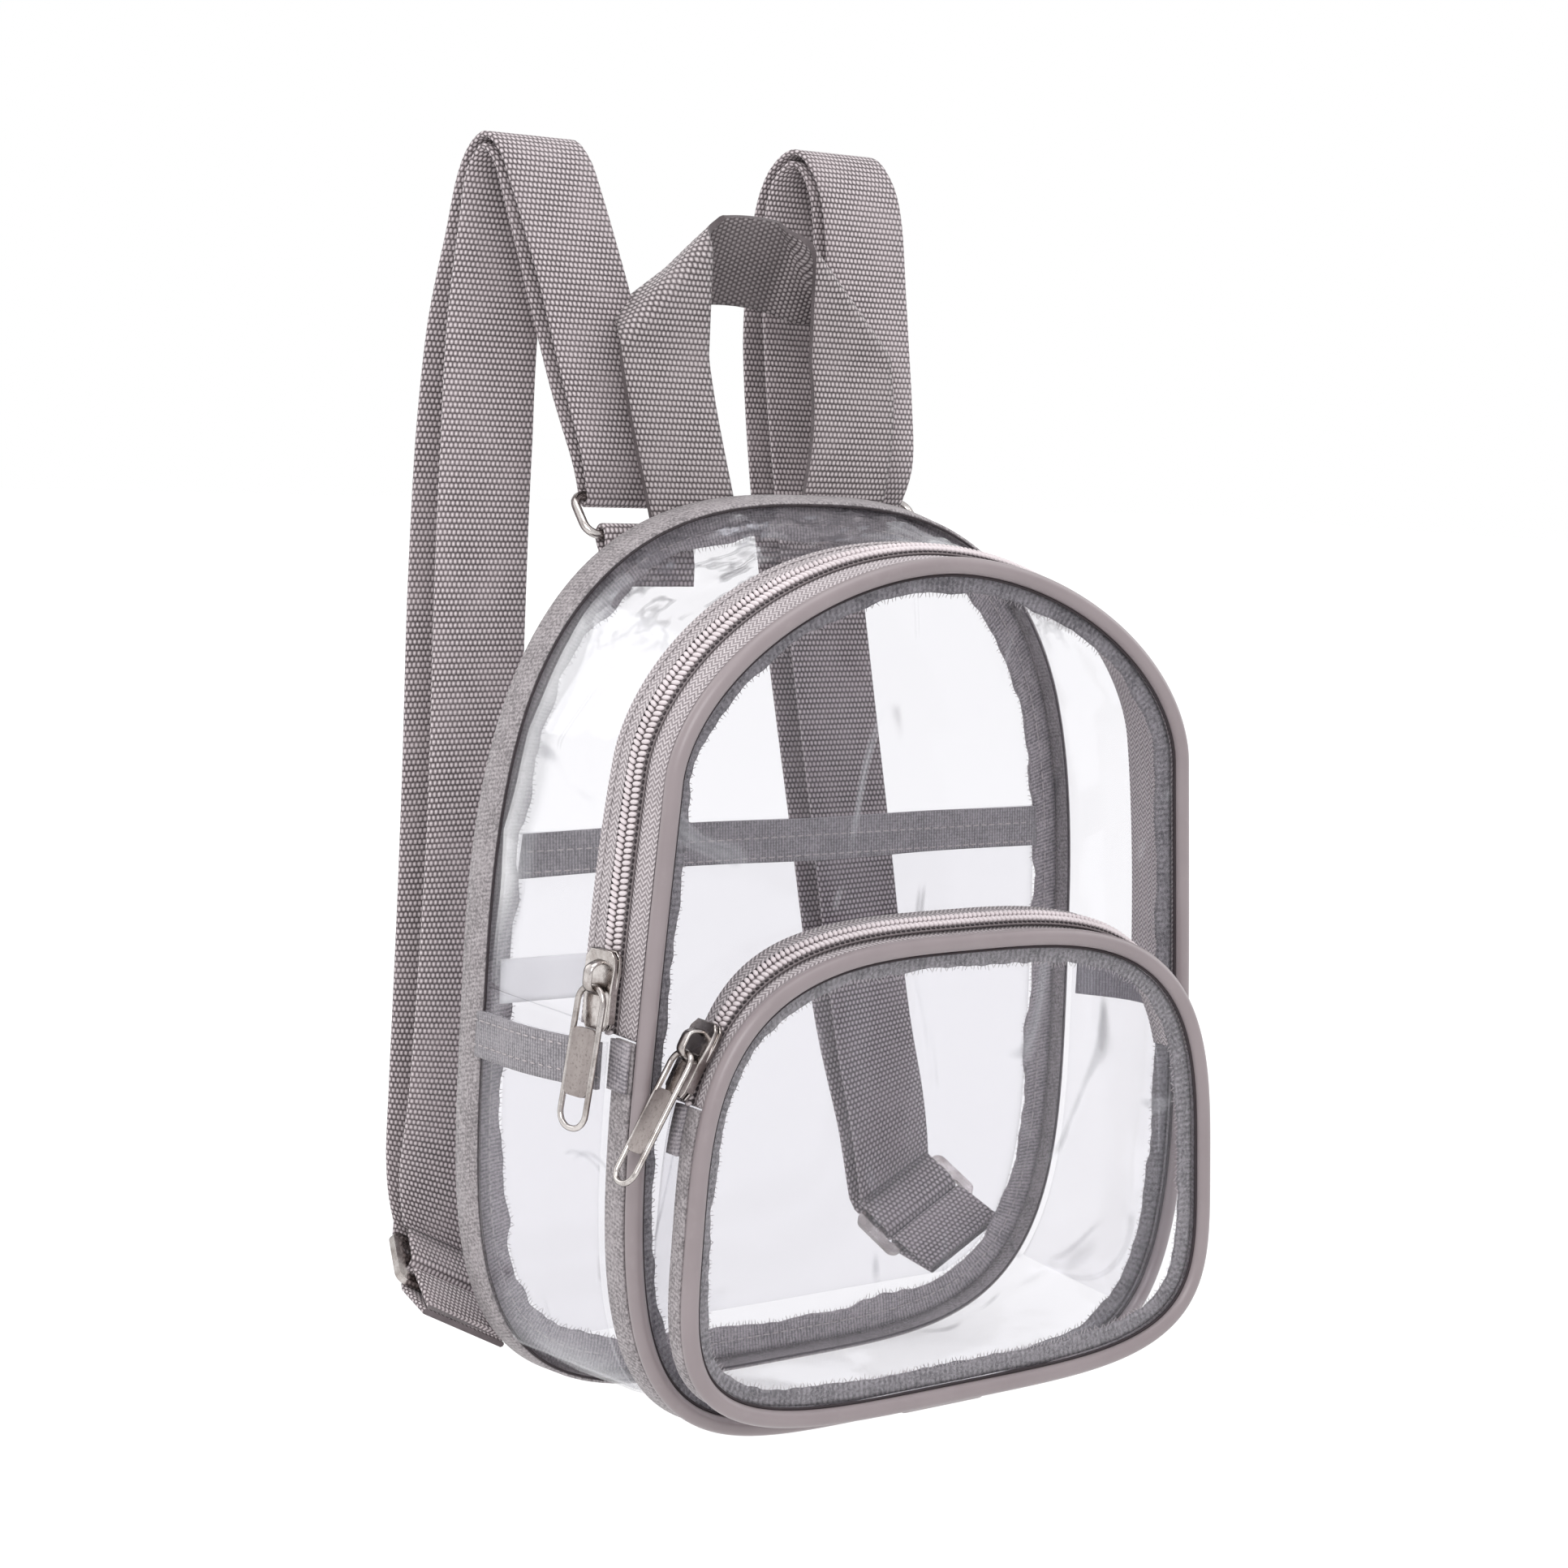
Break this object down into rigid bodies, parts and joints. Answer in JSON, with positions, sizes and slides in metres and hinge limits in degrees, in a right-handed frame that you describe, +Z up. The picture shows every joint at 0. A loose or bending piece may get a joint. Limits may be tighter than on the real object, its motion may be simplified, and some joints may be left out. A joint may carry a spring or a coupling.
{
  "type": "backpack",
  "caption": "Small clear-film backpack with webbing straps and carry handle, a zipped main compartment, a zipped front pocket and open side pockets; the zip pulls swing",
  "frame": {"origin": "the point between the folds of the two straps, where the bag hangs, level with the webbing's middle", "axes": "+Z up, -Y toward the zipped front pocket, +X to the right of someone facing the front; metres"},
  "size_m": [0.1984, 0.1237, 0.3029],
  "materials": {
    "film": "clear soft film, glossy",
    "binding": "ribbed woven binding, warm grey",
    "piping": "smooth warm grey, satin",
    "tape": "woven zip tape, warm grey",
    "coil": "moulded coil, warm grey",
    "webbing": "plain-woven webbing, warm grey",
    "metal": "bright nickel plate",
    "tag": "thin bare cloth, pale"
  },
  "bodies": {
    "bag": {"back_panel": "film", "front_panel": "film", "gusset_top": "film", "gusset_base": "film", "back_edge": "binding", "back_binding": "binding", "front_piping": "piping", "front_binding": "binding", "base_tape": "tape", "main_zip_tape": "tape", "main_zip_coil": "coil", "main_zip_stop_left": "tape", "main_zip_stop_right": "tape", "pocket_front": "film", "pocket_piping": "piping", "pocket_gusset": "film", "pocket_tape": "tape", "pocket_zip_tape": "tape", "pocket_zip_coil": "coil", "pocket_zip_stop_left": "tape", "pocket_zip_stop_right": "tape", "side_pocket_left": "film", "side_pocket_right": "film", "side_band_left": "binding", "side_band_right": "binding", "inner_pocket": "film", "inner_band": "binding", "tag": "tag", "main_slider": "metal", "pocket_slider": "metal", "handle": "webbing", "ring_left": "metal", "ring_right": "metal", "ring_tab_left": "webbing", "ring_tab_right": "webbing", "adjuster_left": "metal", "adjuster_right": "metal", "adjuster_tab_left": "webbing", "adjuster_tab_right": "webbing", "strap_left": "webbing", "strap_right": "webbing"},
    "main_pull": {"main_pull": "metal"},
    "pocket_pull": {"pocket_pull": "metal"}
  },
  "joints": [
    {"name": "main_pull_hinge", "type": "hinge", "parent": "bag", "child": "main_pull", "pos_m": [-0.07737, -0.08485, -0.18506], "axis": [-0.1726, 0.9849, 0.012], "range_deg": [0, 150]},
    {"name": "pocket_pull_hinge", "type": "hinge", "parent": "bag", "child": "pocket_pull", "pos_m": [-0.06415, -0.1026, -0.19743], "axis": [0, 1, 0], "range_deg": [0, 150]}
  ]
}
